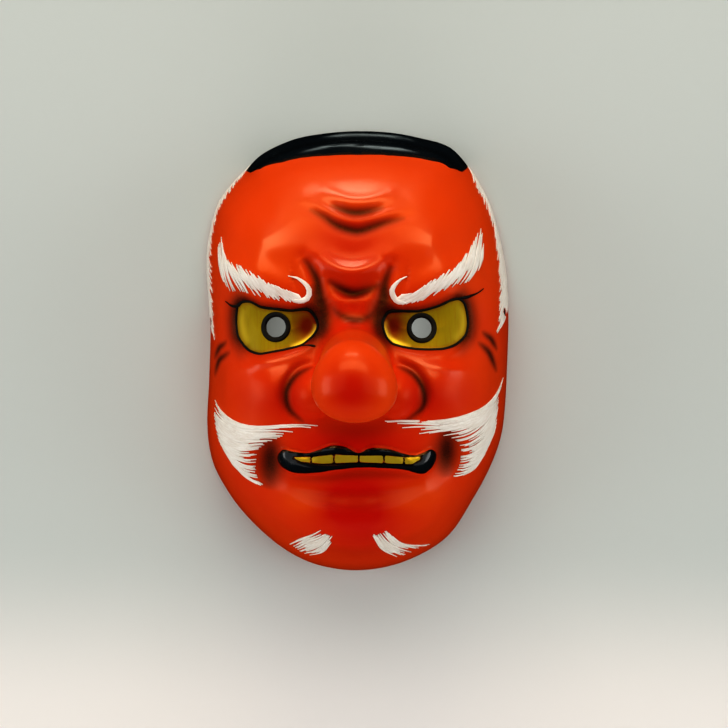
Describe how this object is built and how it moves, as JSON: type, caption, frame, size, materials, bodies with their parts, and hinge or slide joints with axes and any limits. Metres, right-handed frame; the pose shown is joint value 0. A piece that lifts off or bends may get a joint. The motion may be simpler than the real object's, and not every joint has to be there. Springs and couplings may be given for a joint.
{
  "type": "tengu mask",
  "caption": "Full-size papier-mache tengu mask: red frowning face with a long rounded nose, gold eyes with sight holes and bared teeth, hollow and open at the back.",
  "frame": {"origin": "centre of the bounding box seen from the front, in the plane of the back rim", "axes": "+Z out of the face along the nose, +Y toward the hair band, +X to the right of the picture"},
  "size_m": [0.1725, 0.2513, 0.161],
  "materials": {
    "shell": "glossy lacquer"
  },
  "bodies": {
    "root": {"mask": "shell"}
  },
  "joints": []
}
